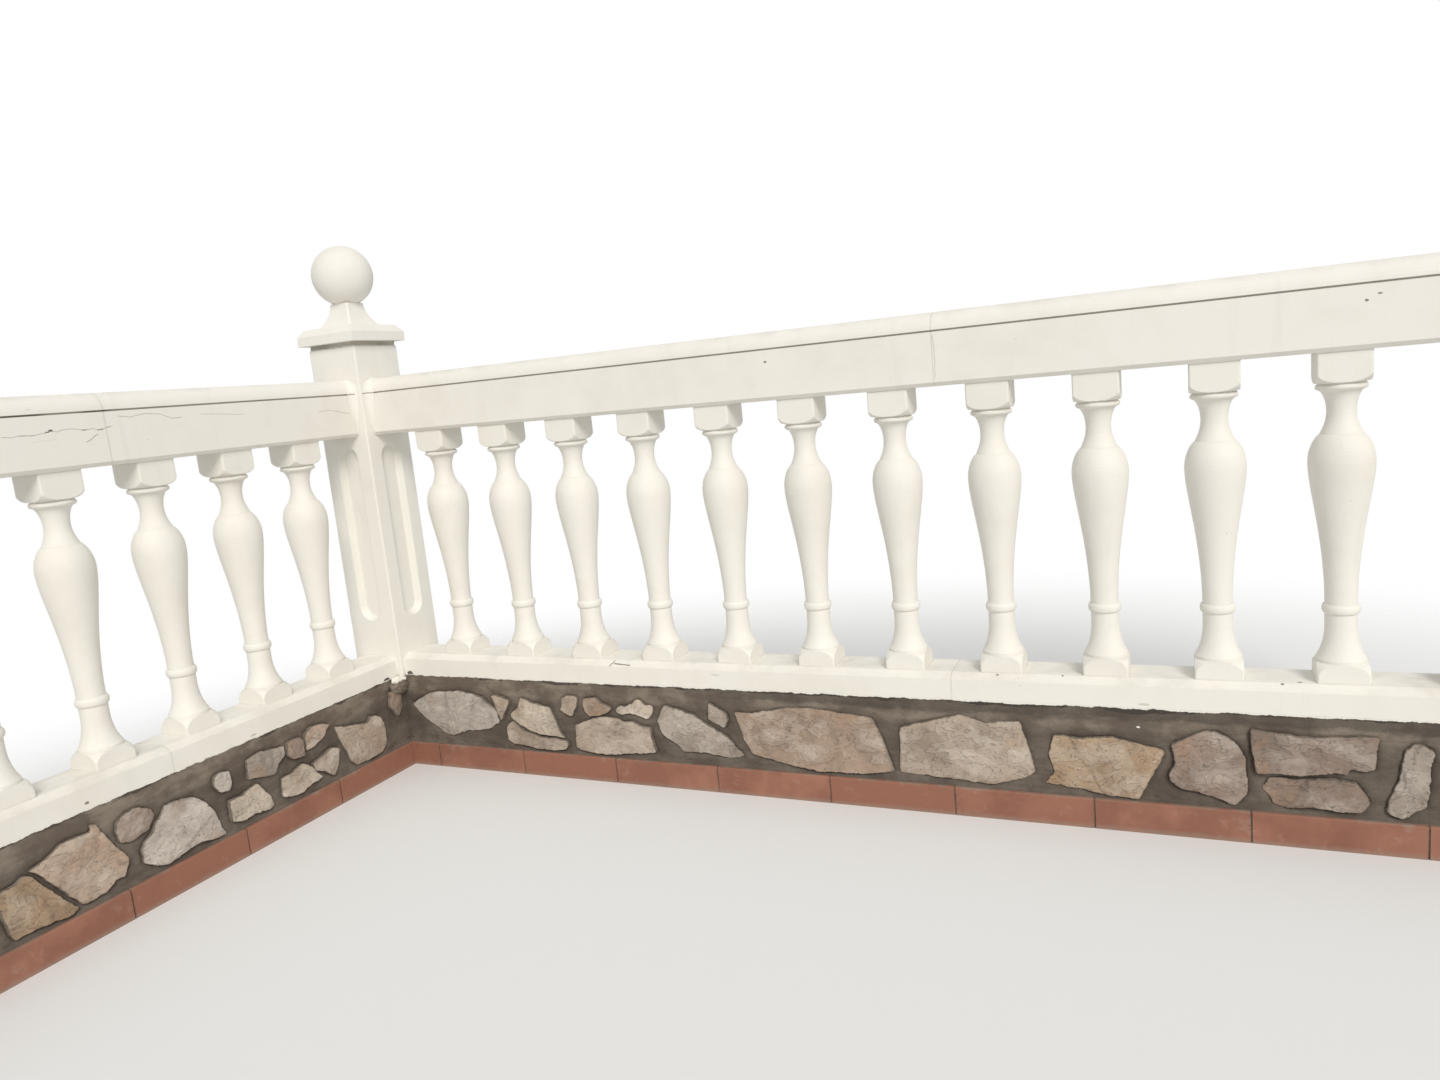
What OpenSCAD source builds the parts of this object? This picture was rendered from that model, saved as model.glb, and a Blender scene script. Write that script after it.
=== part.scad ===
// Corner of a terrace balustrade in painted cast stone.
// A corner post stands where two runs meet at a right angle. Each run is one bay of turned
// balusters between a bottom rail and a handrail, and ends at a post of the same pattern.
// The bays stand on a low rubble wall with a tile skirting on the terrace side.
// Origin: plan centre of the corner post, on the ground. +X along the right run, -Y along
// the left run, +Z up. Lengths are in millimetres.

/* [Bays] */
// Balusters in the right run
right_count = 12; // [3:1:12]
// Balusters in the left run
left_count = 6; // [3:1:6]
// Distance between the centres of neighbouring balusters
pitch = 234; // [190:1:300]
// Distance from a post's centre to the first baluster's centre
post_to_baluster = 288; // [230:1:360]

/* [Low wall] */
// Height of the rubble wall from the ground to its top
wall_h = 289; // [200:1:500]
// Thickness of the rubble wall
wall_t = 172; // [160:1:260]
// Height of the mortar haunch that slopes up from the wall's sides to the bottom rail
haunch_h = 27; // [10:1:40]
// Height of a skirting tile
skirting_h = 72; // [50:1:120]
// Length of a skirting tile
tile_l = 317; // [200:1:400]
// Length of the cut tile that starts the right run at the inner corner
cut_tile_l = 104; // [60:1:200]
// Thickness of a skirting tile
tile_t = 11; // [7:0.5:16]
// Width of the joint between two tiles
tile_joint = 4; // [3:0.5:10]
// Round along the top front edge of a tile
tile_round = 4; // [2:0.5:6]

/* [Bottom rail] */
// Width of the bottom rail across the run
sill_w = 148; // [120:1:180]
// Height of the bottom rail
sill_h = 64; // [50:1:90]
// Fall of the bottom rail's top, from the flat under the balusters out to its edges
sill_fall = 14; // [4:0.5:24]

/* [Balusters] */
// Height of a baluster between the rails
baluster_h = 692; // [612:1:812]
// Side of the square blocks at its foot and head
block_w = 98; // [88:1:110]
// Round along the blocks' upright edges
block_arris = 4; // [1:0.5:6]
// Height of the foot block up to the top of its ovolo
foot_block_h = 41; // [36:1:54]
// Height of the head block where the ovolo meets the middle of its side
head_block_h = 63; // [54:1:76]
// Widest diameter of the vase
vase_d = 122; // [106:1:136]
// Height of the widest point of the vase
vase_z = 466; // [442:1:482]
// Diameter of the shank between the vase and the lower ring
shank_d = 61; // [52:0.5:68]
// Diameter of the neck above the vase
neck_d = 54; // [46:0.5:60]
// Height of the shoulder where the vase ends under the neck
shoulder_z = 523; // [512:1:544]
// Diameter of the lower ring
ring_d = 72; // [68:0.5:80]
// Height of the middle of the lower ring
ring_z = 154; // [142:1:168]
// Height of the lower ring
ring_h = 21; // [14:0.5:26]
// Diameter of the collar under the head block
collar_d = 95; // [68:0.5:104]
// Height of the collar
collar_h = 11; // [9:0.5:16]

/* [Handrail] */
// Width of the handrail across the run
rail_w = 122; // [106:1:150]
// Height of the flat side of the handrail
rail_face_h = 125; // [90:1:150]
// Height of the rounded top above the side
rail_crown_h = 46; // [30:1:60]
// Run-in of the rounded top from each side
rail_crown_w = 40; // [24:1:50]
// Chamfer along the bottom edges
rail_chamfer = 9; // [4:0.5:14]
// Height and depth of the groove between the side and the rounded top
rail_groove = 4; // [1.5:0.5:6]

/* [Posts] */
// Side of a square post
post_w = 183; // [170:1:210]
// Height of the post that stands above the handrail
post_above_rail = 98; // [80:1:160]
// Width of the sunk panel in each side
panel_w = 84; // [70:1:120]
// Distance from the bottom rail's top up to the panel's round foot
panel_foot = 113; // [52:1:172]
// Distance from the panel's round head up to the handrail's underside
panel_head = 29; // [10:1:80]
// Depth of the sunk panel
panel_d = 18; // [8:0.5:24]
// Splay of the panel's sides over its depth
panel_splay = 14; // [3:0.5:16]
// Round along the post's upright edges
post_arris = 5; // [2:0.5:8]

/* [Caps and balls] */
// Side of the square cap
cap_w = 221; // [206:1:250]
// Height of the cap's upright edge
cap_edge_h = 28; // [16:0.5:36]
// Rise of the chamfer round the cap's top edge
cap_chamfer_h = 21; // [12:0.5:28]
// Run of that chamfer across the cap
cap_chamfer_w = 16; // [8:0.5:24]
// Width of the flare where it leaves the cap
flare_foot_w = 136; // [104:1:150]
// Width of the neck under the ball
flare_neck_w = 70; // [60:1:80]
// Height of the flare and neck above the cap
flare_h = 73; // [60:1:100]
// Height of the mortar bed between a post and its cap
cap_bed_h = 15; // [8:1:24]
// Set-back of that bed from the post's sides
cap_bed_inset = 4; // [1:0.5:8]
// Diameter of the ball
ball_d = 180; // [160:1:210]

/* [Hidden] */
$fn = 72;

sill_z = wall_h;
baluster_z = sill_z + sill_h;
rail_z = baluster_z + baluster_h;
rail_h = rail_face_h + rail_crown_h;
post_h = sill_h + baluster_h + rail_h + post_above_rail;
cap_bed_z = wall_h + post_h;
cap_z = cap_bed_z + cap_bed_h;
cap_slab_h = cap_edge_h + cap_chamfer_h;
ball_seat_z = cap_z + cap_slab_h + flare_h;

right_bay = 2 * post_to_baluster + (right_count - 1) * pitch;
left_bay = 2 * post_to_baluster + (left_count - 1) * pitch;

// Rails are cast in two lengths a run, and meet over the middle of a gap.
right_joint = post_to_baluster + (ceil(right_count / 2) + 0.5) * pitch;
left_joint = post_to_baluster + (floor(left_count / 2) - 0.5) * pitch;
joint_gap = 2;
// Flat of the bottom rail that shows on each side of a baluster's block
sill_margin = 1.5;

// Directions of the two runs, as a turn about Z from +X.
right_turn = 0;
left_turn = -90;

right_balusters = [for (i = [1:right_count]) str("right_baluster_", i)];
left_balusters = [for (i = [1:left_count]) str("left_baluster_", i)];

paint = [0.93, 0.91, 0.86];
rubble = [0.45, 0.42, 0.37];
bed_mortar = [0.55, 0.51, 0.44];
terracotta = [0.52, 0.27, 0.19];

// Points of a cubic curve from a to d, with b and c as its handles, without its last point.
function curve(a, b, c, d, steps) = [
    for (i = [0:steps - 1])
        let (t = i / steps, u = 1 - t)
            u * u * u * a + 3 * u * u * t * b + 3 * u * t * t * c + t * t * t * d
];

// Points of a quarter ellipse about centre, from angle a0 to a1, both ends included.
function arc(centre, rx, ry, a0, a1, steps) = [
    for (i = [0:steps])
        let (a = a0 + (a1 - a0) * i / steps)
            [centre[0] + rx * cos(a), centre[1] + ry * sin(a)]
];

// Turned baluster

shank_r = shank_d / 2;
neck_r = neck_d / 2;
vase_r = vase_d / 2;
ring_r = ring_d / 2;
collar_r = collar_d / 2;
// Straight lengths of the shank below and above the lower ring
low_shank = 26;
high_shank = 22;
flare_top_z = ring_z - ring_h / 2 - low_shank;
// Handles of the curves: out of the shank, below and above the vase's belly, over its shoulder
shank_lean = 3.5;
shank_handle = 135;
belly_handle = 54;
crown_handle = 26;
shoulder_run = 10.5;
shoulder_fall = 11;
// The neck: lip and step at the shoulder, and how far it widens again towards both ends
shoulder_lip = 14.5;
shoulder_step = 2;
low_neck_run = 7;
high_neck_run = 6;
collar_lip = 13;
collar_nose = 4;
// Its narrowest level and the handles of its curves, as shares of its height
neck_mid = 0.52;
neck_handle = 0.23;
low_neck_rise = 0.15;
high_neck_fall = 0.09;
// Gap between the collar and the head block
collar_gap = 3;
head_block_z = baluster_h - head_block_h;
collar_z = head_block_z - collar_h - collar_gap;
// The turned parts reach the blocks' square corners, and the ovolo runs into the head block.
block_corner_r = block_w / 2 * sqrt(2);
ovolo_run = 8;
ovolo_rise = 24;
ovolo_sink = 1;
// Ovolo over the foot block: set-in of its top from the block's side, and its height
foot_ovolo_run = 6;
foot_ovolo_rise = 35;
// Upright step between that ovolo and the flare, and the set-back of the flare's foot
foot_step = 5.5;
flare_setback = 1;
// The flare is a quarter ellipse that is cut off at its foot, at this share of its half-width.
flare_cut = 0.6;

module turned_foot() {
    ovolo_r = block_w / 2 - foot_ovolo_run;
    ovolo_reach = block_corner_r - ovolo_r;
    flare_foot_r = block_w / 2 - flare_setback;
    flare_rise = (flare_top_z - foot_block_h - foot_step) / sqrt(1 - flare_cut * flare_cut);
    flare_reach = (flare_foot_r - shank_r) / (1 - flare_cut);
    rotate_extrude()
        polygon([
            [0, 0],
            [block_corner_r, 0],
            each arc([ovolo_r, foot_block_h - foot_ovolo_rise], ovolo_reach, foot_ovolo_rise,
                0, acos((flare_foot_r - ovolo_r) / ovolo_reach), 8),
            each arc([shank_r + flare_reach, flare_top_z], flare_reach, flare_rise,
                180 + acos(flare_cut), 180, 10),
            [0, flare_top_z]
        ]);
}

module turned_shaft() {
    bead = ring_h / 2;
    shank_top_z = ring_z + bead + high_shank;
    neck_h = collar_z - shoulder_z;
    neck_z = shoulder_z + neck_mid * neck_h;
    collar_mid_z = collar_z + collar_h / 2;
    lip_r = neck_r + shoulder_lip;
    rotate_extrude()
        polygon([
            [0, flare_top_z],
            [shank_r, flare_top_z],
            each arc([shank_r, ring_z], ring_r - shank_r, bead, -90, 90, 10),
            each curve([shank_r, shank_top_z], [shank_r + shank_lean, shank_top_z + shank_handle],
                [vase_r, vase_z - belly_handle], [vase_r, vase_z], 12),
            each curve([vase_r, vase_z], [vase_r, vase_z + crown_handle],
                [lip_r + shoulder_run, shoulder_z - shoulder_fall], [lip_r, shoulder_z], 8),
            [lip_r, shoulder_z],
            each curve([lip_r - shoulder_step, shoulder_z + shoulder_step / 2],
                [neck_r + low_neck_run, shoulder_z + low_neck_rise * neck_h],
                [neck_r, neck_z - neck_handle * neck_h], [neck_r, neck_z], 8),
            each curve([neck_r, neck_z], [neck_r, neck_z + neck_handle * neck_h],
                [neck_r + high_neck_run, collar_z - high_neck_fall * neck_h],
                [neck_r + collar_lip, collar_z], 8),
            each arc([collar_r - collar_nose, collar_mid_z], collar_nose, collar_h / 2, -90, 90, 6),
            [collar_r - collar_nose, head_block_z],
            [0, head_block_z]
        ]);
}

module turned_head() {
    ovolo_r = block_w / 2 - ovolo_run;
    rotate_extrude()
        polygon([
            [0, head_block_z - ovolo_sink],
            each arc([ovolo_r, head_block_z + ovolo_rise], block_corner_r - ovolo_r,
                ovolo_rise + ovolo_sink, -90, 0, 8),
            [block_corner_r, baluster_h],
            [0, baluster_h]
        ]);
}

// Plan of a square pillar of width w with its edges rounded to r
module rounded_square(w, r, steps) {
    in = w / 2 - r;
    polygon([
        each arc([in, in], r, r, 0, 90, steps),
        each arc([-in, in], r, r, 90, 180, steps),
        each arc([-in, -in], r, r, 180, 270, steps),
        each arc([in, -in], r, r, 270, 360, steps)
    ]);
}

module block_prism(z, h) {
    translate([0, 0, z])
        linear_extrude(h)
            rounded_square(block_w, block_arris, 3);
}

module baluster() {
    intersection() {
        turned_foot();
        block_prism(0, flare_top_z);
    }
    turned_shaft();
    intersection() {
        turned_head();
        block_prism(head_block_z - 2, head_block_h + 2);
    }
}

// x is measured along the run from the corner post's centre
module place(turn, x) {
    rotate([0, 0, turn])
        translate([x, 0, 0])
            children();
}

module run_baluster(turn, i) {
    color(paint)
        place(turn, post_to_baluster + (i - 1) * pitch)
            translate([0, 0, baluster_z])
                baluster();
}

// Rails

module rail_section() {
    half = rail_w / 2;
    crown_z = rail_face_h + rail_groove;
    crown = arc([half - rail_crown_w, crown_z], rail_crown_w, rail_crown_h - rail_groove, 0, 90, 8);
    right_side = [
        [half - rail_chamfer, 0],
        [half, rail_chamfer],
        [half, rail_face_h],
        [half - rail_groove, rail_face_h],
        [half - rail_groove, crown_z],
        each crown
    ];
    polygon([each right_side, each [for (i = [len(right_side) - 1:-1:0])
        [-right_side[i][0], right_side[i][1]]]]);
}

module sill_section() {
    half = sill_w / 2;
    flat_half = block_w / 2 + sill_margin;
    polygon([
        [-half, 0], [half, 0], [half, sill_h - sill_fall], [flat_half, sill_h],
        [-flat_half, sill_h], [-half, sill_h - sill_fall]
    ]);
}

module along(turn, from, to, z) {
    place(turn, from)
        translate([0, 0, z])
            rotate([90, 0, 90])
                linear_extrude(to - from)
                    children();
}

module handrail(turn, from, to) {
    color(paint)
        along(turn, from, to, rail_z)
            rail_section();
}

module bottom_rail(turn, from, to) {
    color(paint)
        along(turn, from, to, sill_z)
            sill_section();
}

// Posts

// Cut for a round-ended panel, from its floor at x = 0 out past the post's side
module sunk_panel() {
    floor_r = panel_w / 2 - panel_splay;
    out = panel_d + 1;
    out_r = floor_r + panel_splay / panel_d * out;
    foot_z = panel_foot + panel_w / 2;
    head_z = baluster_h - panel_head - panel_w / 2;
    for (z = [foot_z, head_z])
        translate([0, 0, z])
            rotate([0, 90, 0])
                cylinder(h = out, r1 = floor_r, r2 = out_r);
    translate([0, 0, foot_z])
        linear_extrude(head_z - foot_z)
            polygon([[0, -floor_r], [out, -out_r], [out, out_r], [0, floor_r]]);
}

module post(turn, x) {
    half = post_w / 2;
    color(paint)
        place(turn, x)
            translate([0, 0, wall_h])
                difference() {
                    linear_extrude(post_h)
                        rounded_square(post_w, post_arris, 4);
                    for (side = [0:90:270])
                        rotate([0, 0, side])
                            translate([half - panel_d, 0, sill_h])
                                sunk_panel();
                }
}

// Caps and balls

// Handles of the flare's side, as shares of its run and its height
flare_handle = [0.42, 0.17];
throat_handle = [0.05, 0.6];
// Half-width of the flare across its cut corners, as a share of that across its sides
corner_share = 1.34;
// The same for the slab, whose corners stay sharp
slab_corner_share = 1.45;

// Right half of an upright section through the cap, from its foot to the neck's top
function cap_side(half, half_foot, half_neck) =
    let (run = half_foot - half_neck, neck_z = cap_slab_h + flare_h)
        [
            [half, 0],
            [half, cap_edge_h],
            [half - cap_chamfer_w, cap_slab_h],
            each curve(
                [half_foot, cap_slab_h],
                [half_foot - flare_handle[0] * run, cap_slab_h + flare_handle[1] * flare_h],
                [half_neck + throat_handle[0] * run, cap_slab_h + throat_handle[1] * flare_h],
                [half_neck, neck_z], 10),
            [half_neck, neck_z]
        ];

module swept(half, half_foot, half_neck) {
    side = cap_side(half, half_foot, half_neck);
    rotate([90, 0, 0])
        linear_extrude(2 * cap_w, center = true)
            polygon([each side, each [for (i = [len(side) - 1:-1:0]) [-side[i][0], side[i][1]]]]);
}

module cap(turn, x) {
    half = cap_w / 2;
    half_foot = flare_foot_w / 2;
    half_neck = flare_neck_w / 2;
    color(paint)
        place(turn, x)
            translate([0, 0, cap_z])
                intersection() {
                    swept(half, half_foot, half_neck);
                    rotate([0, 0, 90])
                        swept(half, half_foot, half_neck);
                    rotate([0, 0, 45])
                        swept(slab_corner_share * half, corner_share * half_foot,
                            corner_share * half_neck);
                    rotate([0, 0, -45])
                        swept(slab_corner_share * half, corner_share * half_foot,
                            corner_share * half_neck);
                }
}

module cap_bed(turn, x) {
    bed_w = post_w - 2 * cap_bed_inset;
    color(bed_mortar)
        place(turn, x)
            translate([-bed_w / 2, -bed_w / 2, cap_bed_z])
                cube([bed_w, bed_w, cap_bed_h]);
}

module ball(turn, x) {
    r = ball_d / 2;
    seat_r = flare_neck_w / 2;
    drop = sqrt(r * r - seat_r * seat_r);
    color(paint)
        place(turn, x)
            translate([0, 0, ball_seat_z + drop])
                intersection() {
                    sphere(r);
                    translate([-r, -r, -drop])
                        cube(2 * r + drop);
                }
}

// Low wall and skirting

// The corner block is square to its top, under the post
module corner_block() {
    color(rubble)
        translate([-wall_t / 2, -wall_t / 2, 0])
            cube([wall_t, wall_t, wall_h]);
}

module wall_block(turn, from, to) {
    half = wall_t / 2;
    top_half = min(half, sill_w / 2);
    color(rubble)
        along(turn, from, to, 0)
            polygon([
                [-half, 0], [half, 0], [half, wall_h - haunch_h], [top_half, wall_h],
                [-top_half, wall_h], [-half, wall_h - haunch_h]
            ]);
}

module skirting_section() {
    polygon([
        [0, 0], [tile_t, 0],
        each arc([tile_t - tile_round, skirting_h - tile_round], tile_round, tile_round, 0, 90, 4),
        [0, skirting_h]
    ]);
}

// Tiles run from the inner corner, the first one first_l long; the last is cut to the wall's end.
module skirting(turn, side, first_l, from, to) {
    rest = from + first_l + tile_joint;
    count = ceil((to - rest) / (tile_l + tile_joint));
    starts = [from, each [for (i = [0:count - 1]) rest + i * (tile_l + tile_joint)]];
    ends = [for (start = starts) start == from ? rest - tile_joint : min(start + tile_l, to)];
    color(terracotta)
        for (i = [0:count])
            place(turn, starts[i])
                translate([0, side * wall_t / 2, 0])
                    rotate([90, 0, 90])
                        linear_extrude(ends[i] - starts[i])
                            scale([side, 1])
                                skirting_section();
}

half_post = post_w / 2;
wall_half = wall_t / 2;
right_end = right_bay + half_post;
left_end = left_bay + half_post;

post(right_turn, 0);  // corner_post
cap_bed(right_turn, 0);  // corner_cap_bed
cap(right_turn, 0);  // corner_cap
ball(right_turn, 0);  // corner_ball
post(right_turn, right_bay);  // right_end_post
cap_bed(right_turn, right_bay);  // right_end_cap_bed
cap(right_turn, right_bay);  // right_end_cap
ball(right_turn, right_bay);  // right_end_ball
post(left_turn, left_bay);  // left_end_post
cap_bed(left_turn, left_bay);  // left_end_cap_bed
cap(left_turn, left_bay);  // left_end_cap
ball(left_turn, left_bay);  // left_end_ball
handrail(right_turn, half_post, right_joint - joint_gap / 2);  // right_handrail_near
handrail(right_turn, right_joint + joint_gap / 2, right_bay - half_post);  // right_handrail_far
handrail(left_turn, half_post, left_joint - joint_gap / 2);  // left_handrail_near
handrail(left_turn, left_joint + joint_gap / 2, left_bay - half_post);  // left_handrail_far
bottom_rail(right_turn, half_post, right_joint - joint_gap / 2);  // right_bottom_rail_near
bottom_rail(right_turn, right_joint + joint_gap / 2, right_bay - half_post);  // right_bottom_rail_far
bottom_rail(left_turn, half_post, left_joint - joint_gap / 2);  // left_bottom_rail_near
bottom_rail(left_turn, left_joint + joint_gap / 2, left_bay - half_post);  // left_bottom_rail_far
corner_block();  // corner_wall
wall_block(right_turn, wall_half, right_end);  // right_wall
wall_block(left_turn, wall_half, left_end);  // left_wall
skirting(right_turn, -1, cut_tile_l, wall_half + tile_t, right_end);  // right_skirting
skirting(left_turn, 1, tile_l, wall_half, left_end);  // left_skirting
for (i = [1:right_count])
    run_baluster(right_turn, i);
for (i = [1:left_count])
    run_baluster(left_turn, i);
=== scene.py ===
"""Looks of a balustrade corner: a rubble wall, a tile skirting and painted cast stone above."""
import math
import random

import bmesh
import bpy
import numpy as np
from mathutils import Matrix, Vector, noise
from mathutils.geometry import convex_hull_2d


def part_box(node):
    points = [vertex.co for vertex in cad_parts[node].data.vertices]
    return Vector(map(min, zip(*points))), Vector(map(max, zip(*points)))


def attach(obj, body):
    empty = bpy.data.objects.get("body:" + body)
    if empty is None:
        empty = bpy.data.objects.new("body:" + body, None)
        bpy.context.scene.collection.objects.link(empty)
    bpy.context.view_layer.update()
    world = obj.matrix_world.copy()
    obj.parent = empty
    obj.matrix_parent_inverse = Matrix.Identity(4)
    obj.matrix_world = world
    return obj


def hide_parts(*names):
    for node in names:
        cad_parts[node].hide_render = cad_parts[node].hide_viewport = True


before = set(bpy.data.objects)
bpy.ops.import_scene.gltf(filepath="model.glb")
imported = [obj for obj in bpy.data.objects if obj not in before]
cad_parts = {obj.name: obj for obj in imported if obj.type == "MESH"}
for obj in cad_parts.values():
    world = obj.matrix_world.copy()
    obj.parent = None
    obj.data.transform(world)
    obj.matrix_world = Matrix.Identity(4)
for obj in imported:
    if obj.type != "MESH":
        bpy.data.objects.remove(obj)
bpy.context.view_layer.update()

# Low wall, setting out. The real wall carries flat field stones on every face, bedded on edge in
# cement mortar. The stones of the terrace side lie where they are built in; those of the other
# faces are picked and fitted the same way, between sloping joints.

MM = 0.001
UP = Vector((0, 0, 1))
TRIM_BAND = 31 * MM
SKIRTING_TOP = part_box("right_skirting")[1].z


class WallFace:
    """One upright face of the wall, with places on it as distance along, height and distance out."""

    def __init__(self, origin, along, out, start, end, low):
        self.origin, self.along, self.out = Vector(origin), Vector(along), Vector(out)
        self.start, self.end, self.low = start, end, low
        self.outlines, self.kinds = [], []

    def point(self, a, z, d):
        return self.origin + self.along * float(a) + UP * float(z) + self.out * float(d)

    def turns_left(self):
        return self.along.cross(UP).dot(self.out) > 0


corner_low, corner_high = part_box("corner_wall")
right_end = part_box("right_wall")[1].x
left_end = -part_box("left_wall")[0].y
wall_half = corner_high.x
wall_top = corner_high.z
stone_top = wall_top - TRIM_BAND

right_terrace = WallFace((0, -wall_half, 0), (1, 0, 0), (0, -1, 0), wall_half, right_end, SKIRTING_TOP)
left_terrace = WallFace((wall_half, 0, 0), (0, -1, 0), (1, 0, 0), wall_half, left_end, SKIRTING_TOP)
right_outer = WallFace((0, wall_half, 0), (1, 0, 0), (0, 1, 0), -wall_half, right_end, 0)
left_outer = WallFace((-wall_half, 0, 0), (0, -1, 0), (-1, 0, 0), -wall_half, left_end, 0)
right_tail = WallFace((right_end, 0, 0), (0, 1, 0), (1, 0, 0), -wall_half, wall_half, 0)
left_tail = WallFace((0, -left_end, 0), (1, 0, 0), (0, -1, 0), -wall_half, wall_half, 0)

# Stones of the terrace side: the kind of each and then its outline in millimetres, by turns the
# distance along the run from the corner post's centre and the height.
right_terrace_stones = [
    ("pale", 103, 196, 147, 150, 215, 106, 252, 96, 315, 118, 392, 124, 436, 150, 434, 186, 380, 230, 300, 245,
     185, 236),
    ("fawn", 425, 240, 438, 196, 450, 160, 478, 204, 485, 226),
    ("cream", 524, 233, 548, 228, 565, 218, 583, 219, 600, 212, 626, 209, 633, 195, 646, 163, 655, 135, 668, 114,
     640, 121, 587, 123, 535, 138, 491, 164, 481, 174, 488, 185, 513, 204),
    ("fawn", 489, 159, 533, 131, 587, 116, 640, 115, 667, 109, 680, 108, 680, 92, 661, 81, 612, 77, 577, 79, 538, 85,
     488, 87, 466, 95, 461, 113, 462, 135, 474, 151),
    ("fawn", 673, 239, 692, 250, 726, 248, 728, 230, 716, 205, 705, 186, 685, 193, 667, 204),
    ("tan", 747, 241, 769, 246, 794, 246, 805, 232, 843, 219, 826, 202, 796, 194, 762, 192, 746, 205),
    ("cream", 854, 214, 870, 228, 886, 226, 916, 239, 930, 249, 945, 242, 952, 233, 977, 229, 973, 210, 957, 190,
     932, 200, 905, 208, 876, 204, 857, 205),
    ("fawn", 706, 160, 742, 171, 778, 185, 812, 191, 853, 189, 873, 179, 902, 183, 936, 170, 964, 168, 964, 146,
     969, 120, 976, 96, 931, 90, 878, 86, 823, 78, 773, 81, 731, 85, 709, 95, 708, 123),
    ("grey", 1010, 236, 986, 190, 1000, 146, 1040, 124, 1060, 104, 1130, 106, 1204, 94, 1244, 104, 1196, 156,
     1140, 188, 1096, 214),
    ("grey", 1150, 250, 1146, 206, 1194, 180, 1206, 204, 1200, 222),
    ("tan", 1222, 226, 1244, 152, 1266, 112, 1376, 90, 1460, 80, 1600, 84, 1658, 94, 1626, 190, 1604, 232, 1510, 242,
     1440, 250, 1366, 246, 1276, 226),
    ("fawn", 1676, 212, 1668, 90, 1734, 90, 1830, 84, 1900, 80, 1970, 100, 2000, 120, 1984, 186, 1970, 244, 1886, 236,
     1826, 254, 1736, 230),
    ("ochre", 2042, 216, 2030, 166, 2042, 122, 2018, 94, 2090, 88, 2160, 76, 2224, 76, 2254, 130, 2280, 182,
     2278, 196, 2224, 206, 2170, 220, 2100, 212),
    ("brown", 2293, 209, 2320, 226, 2356, 244, 2388, 245, 2407, 233, 2426, 218, 2441, 189, 2441, 162, 2444, 128,
     2444, 106, 2428, 87, 2420, 77, 2405, 82, 2381, 93, 2345, 103, 2313, 108, 2289, 126, 2286, 141, 2303, 170),
    ("brown", 2450, 257, 2472, 252, 2525, 247, 2539, 243, 2598, 246, 2651, 251, 2687, 251, 2682, 216, 2679, 181,
     2662, 177, 2633, 180, 2630, 169, 2587, 167, 2539, 159, 2494, 161, 2460, 158, 2456, 186, 2451, 219),
    ("brown", 2471, 123, 2483, 147, 2502, 150, 2531, 147, 2568, 152, 2605, 154, 2644, 150, 2662, 127, 2671, 107,
     2655, 87, 2619, 84, 2590, 88, 2561, 88, 2516, 81, 2493, 88, 2482, 110),
    ("grey", 2731, 226, 2744, 241, 2761, 242, 2781, 229, 2778, 212, 2773, 185, 2772, 145, 2768, 107, 2746, 94,
     2732, 80, 2719, 79, 2698, 92, 2701, 110, 2718, 153, 2724, 188),
]
left_terrace_stones = [
    ("ochre", 1302, 196, 1289, 199, 1269, 200, 1248, 211, 1237, 203, 1224, 181, 1202, 150, 1181, 116, 1162, 92,
     1158, 86, 1162, 81, 1194, 80, 1222, 85, 1275, 85, 1293, 84, 1300, 105, 1306, 149, 1312, 178),
    ("tan", 1241, 214, 1215, 220, 1187, 230, 1166, 242, 1132, 241, 1099, 239, 1099, 254, 1087, 252, 1072, 218,
     1049, 178, 1028, 143, 1029, 128, 1046, 103, 1067, 106, 1074, 98, 1091, 89, 1112, 87, 1144, 85, 1153, 96,
     1169, 118, 1192, 154, 1212, 184, 1229, 205),
    ("brown", 1041, 232, 1019, 245, 999, 248, 980, 246, 955, 229, 949, 213, 968, 184, 994, 179, 1020, 174, 1040, 185,
     1045, 210),
    ("pale", 996, 143, 985, 157, 965, 169, 951, 191, 934, 200, 920, 222, 882, 220, 845, 213, 815, 186, 793, 149,
     782, 105, 770, 77, 804, 82, 849, 92, 877, 90, 906, 85, 934, 77, 969, 89, 996, 111),
    ("pale", 781, 235, 759, 243, 736, 235, 736, 203, 751, 184, 773, 193, 785, 214),
    ("cream", 752, 159, 713, 158, 660, 171, 629, 122, 621, 90, 636, 84, 686, 95, 724, 92, 753, 102),
    ("grey", 680, 241, 641, 248, 596, 241, 563, 237, 564, 212, 590, 197, 604, 173, 646, 181, 685, 190),
    ("brown", 549, 240, 507, 242, 497, 227, 501, 183, 537, 187, 556, 205),
    ("cream", 581, 152, 550, 151, 506, 165, 475, 137, 452, 101, 481, 97, 527, 84, 567, 90, 589, 101),
    ("fawn", 476, 151, 442, 157, 402, 171, 377, 160, 385, 117, 409, 88, 442, 114, 469, 127),
    ("tan", 487, 242, 462, 256, 426, 249, 398, 239, 425, 213, 457, 196, 490, 193),
    ("fawn", 378, 222, 326, 207, 256, 192, 237, 207, 205, 197, 189, 165, 191, 105, 216, 86, 267, 82, 316, 82,
     336, 102, 353, 146, 368, 189),
    ("brown", 150, 250, 106, 256, 104, 192, 130, 168, 156, 206),
]

# The picked stones, also in millimetres.
STONE_KINDS = ["pale", "fawn", "cream", "grey", "tan", "ochre", "brown"]
STONE_WIDTH = (105, 250)
BIG_STONE, LAST_STONE, LEAST_STONE = 200, 95, 60
HALF_JOINT = (7, 11)
JOINT_LEAN = 26


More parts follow.
